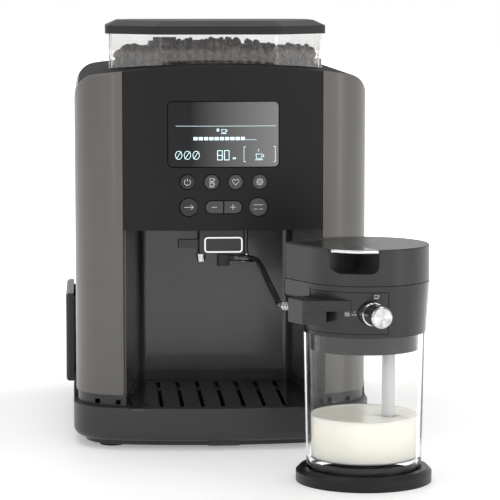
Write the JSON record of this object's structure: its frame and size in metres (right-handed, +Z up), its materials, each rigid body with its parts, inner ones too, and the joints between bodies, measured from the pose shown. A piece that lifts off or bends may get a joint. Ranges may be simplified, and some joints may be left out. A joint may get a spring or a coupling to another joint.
{
  "type": "bean-to-cup coffee machine",
  "caption": "Counter-top bean-to-cup coffee machine with bean hopper, sliding spout, drip drawer, water tank and a separate milk carafe joined by a hose.",
  "frame": {"origin": "on the worktop, under the middle of the box round machine and carafe", "axes": "+Z up, +X to the right of a person facing the front, +Y from the front to the back"},
  "size_m": [0.2851, 0.5394, 0.3515],
  "materials": {
    "foot_rubber": "matt black rubber",
    "base_dark": "satin dark grey moulded plastic",
    "float_red": "red float plastic",
    "liner_dark": "fine-textured dark grey plastic",
    "console_black": "satin near-black plastic",
    "button_black": "satin black button caps",
    "display_glass": "glossy dark display window",
    "circuit_green": "green circuit board",
    "panel_grey": "satin warm grey lacquered plastic",
    "chrome_trim": "polished chrome plating",
    "nozzle_black": "black silicone rubber",
    "clear_plastic": "clear smoked plastic",
    "lid_dark": "satin dark plastic lid",
    "metal_case": "plain motor case",
    "grinder_plastic": "moulded structural plastic",
    "burr_steel": "machined steel",
    "heater_aluminium": "cast aluminium",
    "jar_glass": "clear jar",
    "carafe_black": "polished black plastic"
  },
  "bodies": {
    "machine": {"rubber_feet": "foot_rubber", "bottom_plate": "base_dark", "base_housing": "base_dark", "bay_liner": "liner_dark", "front_console": "console_black", "display_lens": "display_glass", "control_board": "circuit_green", "left_side_panel": "panel_grey", "right_side_panel": "panel_grey", "rear_cover": "panel_grey", "top_cover": "console_black", "rear_bulkhead": "liner_dark", "spout_guide": "liner_dark", "milk_hose": "nozzle_black", "hose_fitting": "chrome_trim", "bean_hopper": "clear_plastic", "grinder_housing": "grinder_plastic", "grinder_motor": "metal_case", "upper_burr": "burr_steel", "brew_frame": "grinder_plastic", "brew_chamber": "grinder_plastic", "drive_motor": "metal_case", "water_pump": "metal_case", "heater_block": "heater_aluminium", "main_board": "circuit_green", "cord_gland": "foot_rubber", "case_screws": "burr_steel"},
    "drip_drawer": {"drip_drawer": "base_dark"},
    "cup_grid": {"cup_grid": "base_dark"},
    "tray_float": {"tray_float": "float_red"},
    "spout": {"spout_body": "console_black", "badge_frame": "chrome_trim", "coffee_nozzles": "chrome_trim", "milk_nozzle": "nozzle_black"},
    "grounds_drawer": {"grounds_drawer": "panel_grey"},
    "water_tank": {"water_tank": "clear_plastic"},
    "tank_lid": {"tank_lid": "lid_dark"},
    "hopper_lid": {"hopper_lid": "console_black"},
    "grind_knob": {"grind_knob": "console_black"},
    "lower_burr": {"lower_burr": "burr_steel"},
    "lead_screw": {"lead_screw": "burr_steel"},
    "drive_pinion": {"drive_pinion": "burr_steel"},
    "brew_piston": {"brew_piston": "grinder_plastic"},
    "carafe": {"carafe_foot": "carafe_black", "carafe_jar": "jar_glass"},
    "carafe_head": {"carafe_head": "carafe_black", "frother_block": "carafe_black", "suction_tube": "carafe_black"},
    "carafe_lid": {"carafe_lid": "carafe_black"},
    "carafe_flap": {"carafe_flap": "carafe_black"},
    "carafe_dial": {"carafe_dial": "chrome_trim"},
    "button_power": {"button_power": "button_black"},
    "button_cups": {"button_cups": "button_black"},
    "button_favourite": {"button_favourite": "button_black"},
    "button_settings": {"button_settings": "button_black"},
    "button_arrow": {"button_arrow": "button_black"},
    "button_minus": {"button_minus": "button_black"},
    "button_plus": {"button_plus": "button_black"},
    "button_start": {"button_start": "button_black"}
  },
  "joints": [
    {"name": "press_power", "type": "slide", "parent": "machine", "child": "button_power", "axis": [0, 1, 0], "range_m": [0, 0.0012], "stiffness_N_per_m": 400},
    {"name": "press_cups", "type": "slide", "parent": "machine", "child": "button_cups", "axis": [0, 1, 0], "range_m": [0, 0.0012], "stiffness_N_per_m": 400},
    {"name": "press_favourite", "type": "slide", "parent": "machine", "child": "button_favourite", "axis": [0, 1, 0], "range_m": [0, 0.0012], "stiffness_N_per_m": 400},
    {"name": "press_settings", "type": "slide", "parent": "machine", "child": "button_settings", "axis": [0, 1, 0], "range_m": [0, 0.0012], "stiffness_N_per_m": 400},
    {"name": "press_arrow", "type": "slide", "parent": "machine", "child": "button_arrow", "axis": [0, 1, 0], "range_m": [0, 0.0012], "stiffness_N_per_m": 400},
    {"name": "press_minus", "type": "slide", "parent": "machine", "child": "button_minus", "axis": [0, 1, 0], "range_m": [0, 0.0012], "stiffness_N_per_m": 400},
    {"name": "press_plus", "type": "slide", "parent": "machine", "child": "button_plus", "axis": [0, 1, 0], "range_m": [0, 0.0012], "stiffness_N_per_m": 400},
    {"name": "press_start", "type": "slide", "parent": "machine", "child": "button_start", "axis": [0, 1, 0], "range_m": [0, 0.0012], "stiffness_N_per_m": 400},
    {"name": "spout_height", "type": "slide", "parent": "machine", "child": "spout", "axis": [0, 0, -1], "range_m": [0, 0.045], "deforming": ["milk_hose"]},
    {"name": "drip_drawer_slide", "type": "slide", "parent": "machine", "child": "drip_drawer", "axis": [0, -1, 0], "range_m": [0, 0.07]},
    {"name": "cup_grid_lift", "type": "slide", "parent": "drip_drawer", "child": "cup_grid", "axis": [0, 0, 1], "range_m": [0, 0.03]},
    {"name": "tray_float_rise", "type": "slide", "parent": "drip_drawer", "child": "tray_float", "axis": [0, 0, 1], "range_m": [0, 0.008]},
    {"name": "grounds_drawer_slide", "type": "slide", "parent": "machine", "child": "grounds_drawer", "axis": [-1, 0, 0], "range_m": [0, 0.12]},
    {"name": "water_tank_lift", "type": "slide", "parent": "machine", "child": "water_tank", "axis": [0, 0, 1], "range_m": [0, 0.2]},
    {"name": "tank_lid_hinge", "type": "hinge", "parent": "water_tank", "child": "tank_lid", "pos_m": [-0.01204, 0.25013, 0.3055], "axis": [-1, 0, 0], "range_deg": [0, 90]},
    {"name": "hopper_lid_lift", "type": "slide", "parent": "machine", "child": "hopper_lid", "axis": [0, 0, 1], "range_m": [0, 0.08]},
    {"name": "grind_setting", "type": "hinge", "parent": "machine", "child": "grind_knob", "pos_m": [-0.05604, 0.05773, 0.33], "axis": [0, 0, 1], "range_deg": [0, 270]},
    {"name": "burr_spin", "type": "hinge", "parent": "machine", "child": "lower_burr", "pos_m": [-0.01204, 0.05273, 0.256], "axis": [0, 0, 1], "continuous": true},
    {"name": "lead_screw_turn", "type": "hinge", "parent": "machine", "child": "lead_screw", "pos_m": [-0.01204, 0.16373, 0.2], "axis": [0, 0, 1], "range_deg": [0, 418]},
    {"name": "drive_pinion_turn", "type": "hinge", "parent": "machine", "child": "drive_pinion", "pos_m": [0.01796, 0.16373, 0.2], "axis": [0, 0, 1], "range_deg": [-1260, 0]},
    {"name": "brew_piston_press", "type": "slide", "parent": "machine", "child": "brew_piston", "axis": [0, 0, -1], "range_m": [0, 0.028]},
    {"name": "carafe_draw_off", "type": "slide", "parent": "machine", "child": "carafe", "axis": [0.7071, -0.7071, 0], "range_m": [0, 0.12]},
    {"name": "carafe_head_lift", "type": "slide", "parent": "carafe", "child": "carafe_head", "axis": [0, 0, 1], "range_m": [0, 0.12]},
    {"name": "carafe_lid_lift", "type": "slide", "parent": "carafe_head", "child": "carafe_lid", "axis": [0, 0, 1], "range_m": [0, 0.05]},
    {"name": "carafe_flap_hinge", "type": "hinge", "parent": "carafe_lid", "child": "carafe_flap", "pos_m": [0.04667, -0.17904, 0.1829], "axis": [-0.891, -0.454, 0], "range_deg": [0, 75]},
    {"name": "carafe_dial_turn", "type": "hinge", "parent": "carafe_head", "child": "carafe_dial", "pos_m": [0.08876, -0.24377, 0.1366], "axis": [0.2198, -0.9755, 0], "range_deg": [0, 180]}
  ],
  "couplings": [
    {"joint": "drive_pinion_turn", "follows": "lead_screw_turn", "ratio": -3},
    {"joint": "brew_piston_press", "follows": "lead_screw_turn", "m_per_rad": 0.0038197}
  ]
}
